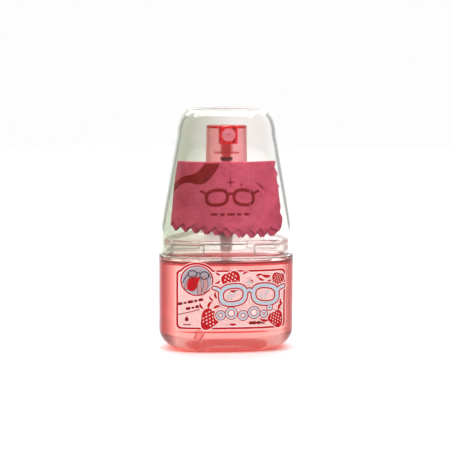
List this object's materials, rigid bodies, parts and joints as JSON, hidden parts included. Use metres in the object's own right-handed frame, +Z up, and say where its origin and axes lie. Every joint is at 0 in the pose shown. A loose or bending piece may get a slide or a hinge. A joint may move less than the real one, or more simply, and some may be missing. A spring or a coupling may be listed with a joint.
{
  "type": "lens cleaning spray",
  "caption": "Oval pocket bottle of pink lens cleaner with a finger pump spray and a clear tapered overcap that holds a folded microfibre cloth.",
  "frame": {"origin": "centre of the bottle's base, on the surface it stands on", "axes": "+Z up along the neck and pump, +X along the bottle's width, -Y out of the front, where the label is and the nozzle points"},
  "size_m": [0.05, 0.028, 0.0898],
  "materials": {
    "clear_bottle": "clear, smooth",
    "pink_fluid": "clear liquid",
    "printed_label": "printed film",
    "white_plastic": "satin",
    "natural_plastic": "milky, translucent",
    "red_plastic": "translucent, glossy",
    "grey_plastic": "satin",
    "soft_gasket": "matt",
    "steel": "bright",
    "clear_cap": "clear, polished",
    "microfibre": "suede-like, matt"
  },
  "bodies": {
    "bottle": {"bottle": "clear_bottle", "cleaning_fluid": "pink_fluid", "front_label": "printed_label"},
    "pump": {"pump_housing": "natural_plastic", "housing_cap": "white_plastic", "neck_gasket": "soft_gasket", "dip_tube": "natural_plastic", "return_spring": "steel"},
    "collar": {"screw_collar": "white_plastic"},
    "stem": {"main_stem": "grey_plastic", "piston": "natural_plastic", "lower_stem": "white_plastic"},
    "button": {"button": "red_plastic", "nozzle_insert": "red_plastic"},
    "ball": {"inlet_ball": "steel"},
    "overcap": {"overcap": "clear_cap", "microfibre_cloth": "microfibre"}
  },
  "joints": [
    {"name": "overcap_lift", "type": "slide", "parent": "bottle", "child": "overcap", "axis": [0, 0, 1], "range_m": [0, 0.056]},
    {"name": "pump_lift", "type": "slide", "parent": "bottle", "child": "pump", "axis": [0, 0, 1], "range_m": [0, 0.00375]},
    {"name": "collar_turn", "type": "hinge", "parent": "pump", "child": "collar", "pos_m": [0, 0, 0.052], "axis": [0, 0, 1], "range_deg": [0, 449.9]},
    {"name": "press", "type": "slide", "parent": "pump", "child": "stem", "axis": [0, 0, -1], "range_m": [0, 0.0045], "stiffness_N_per_m": 1200, "springref_m": -0.004, "deforming": ["return_spring"]},
    {"name": "button_turn", "type": "hinge", "parent": "stem", "child": "button", "pos_m": [0, 0, 0.08], "axis": [0, 0, 1], "continuous": true},
    {"name": "ball_lift", "type": "slide", "parent": "pump", "child": "ball", "axis": [0, 0, 1], "range_m": [0, 0.00045]}
  ],
  "couplings": [
    {"joint": "collar_turn", "follows": "pump_lift", "rad_per_m": 2094.4}
  ]
}
